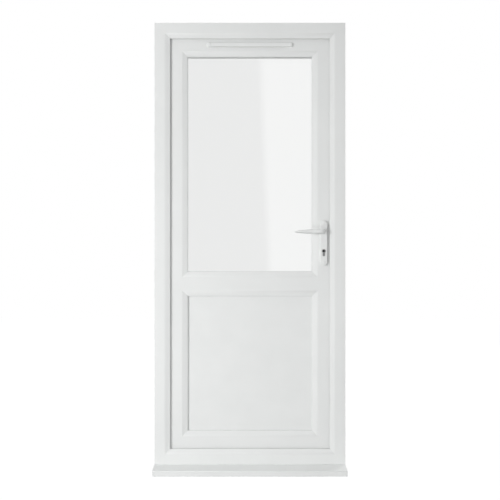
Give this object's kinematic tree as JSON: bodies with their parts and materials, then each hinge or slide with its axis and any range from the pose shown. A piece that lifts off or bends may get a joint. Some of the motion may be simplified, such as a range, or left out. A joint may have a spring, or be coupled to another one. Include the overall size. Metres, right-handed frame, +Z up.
{
  "type": "upvc half-glazed door with frame and cill",
  "caption": "White uPVC back door in its frame: glazed top, flat lower panel, lever handles on long plates, trickle vent, flag hinges and a projecting cill; the leaf opens inward.",
  "frame": {"origin": "on the cill's underside, in the middle of the frame's width, in the plane of the frame's outer face", "axes": "+Z up, +Y in through the doorway to the inside of the building, +X towards the lock jamb"},
  "size_m": [0.89, 0.225, 2.09],
  "materials": {
    "white_upvc": "smooth low-gloss white uPVC",
    "cill_caps": "moulded white plastic",
    "panel_skin": "flat white uPVC skin",
    "seal_rubber": "soft grey rubber",
    "clear_glass": "clear float glass",
    "spacer": "satin spacer bar",
    "white_hardware": "white powder coat",
    "vent_plastic": "moulded white plastic",
    "lock_steel": "plated steel",
    "cylinder_metal": "dark nickel"
  },
  "bodies": {
    "frame": {"frame_head": "white_upvc", "frame_bottom_rail": "white_upvc", "frame_hinge_jamb": "white_upvc", "frame_lock_jamb": "white_upvc", "frame_seal": "seal_rubber", "cill": "white_upvc", "cill_end_cap_left": "cill_caps", "cill_end_cap_right": "cill_caps", "hinge_frame_half_top": "white_hardware", "hinge_frame_half_middle": "white_hardware", "hinge_frame_half_bottom": "white_hardware", "lock_keeps": "lock_steel"},
    "leaf": {"sash_top_rail": "white_upvc", "sash_bottom_rail": "white_upvc", "sash_hinge_stile": "white_upvc", "sash_lock_stile": "white_upvc", "sash_mid_rail": "white_upvc", "leaf_seal": "seal_rubber", "glass_outer_pane": "clear_glass", "glass_inner_pane": "clear_glass", "glass_spacer": "spacer", "glass_seal": "seal_rubber", "panel_seal": "seal_rubber", "infill_panel": "panel_skin", "glass_bead_hinge": "white_upvc", "glass_bead_lock": "white_upvc", "glass_bead_top": "white_upvc", "glass_bead_bottom": "white_upvc", "panel_bead_hinge": "white_upvc", "panel_bead_lock": "white_upvc", "panel_bead_top": "white_upvc", "panel_bead_bottom": "white_upvc", "hinge_leaf_half_top": "white_hardware", "hinge_leaf_half_middle": "white_hardware", "hinge_leaf_half_bottom": "white_hardware", "lock_faceplate": "lock_steel", "lock_bolts": "lock_steel", "lock_cylinder": "cylinder_metal", "handle_plate_outside": "white_hardware", "handle_plate_inside": "white_hardware", "vent_canopy": "vent_plastic", "vent_inner_cover": "vent_plastic"},
    "lever": {"lever_outside": "white_hardware", "lever_inside": "white_hardware", "spindle": "lock_steel"}
  },
  "joints": [
    {"name": "leaf_swing", "type": "hinge", "parent": "frame", "child": "leaf", "pos_m": [-0.417, 0.099, 1.06], "axis": [0, 0, 1], "range_deg": [0, 90]},
    {"name": "lever_turn", "type": "hinge", "parent": "leaf", "child": "lever", "pos_m": [0.3445, 0.0535, 1.118], "axis": [0, -1, 0], "range_deg": [-45, 45], "stiffness_Nm_per_rad": 8}
  ]
}
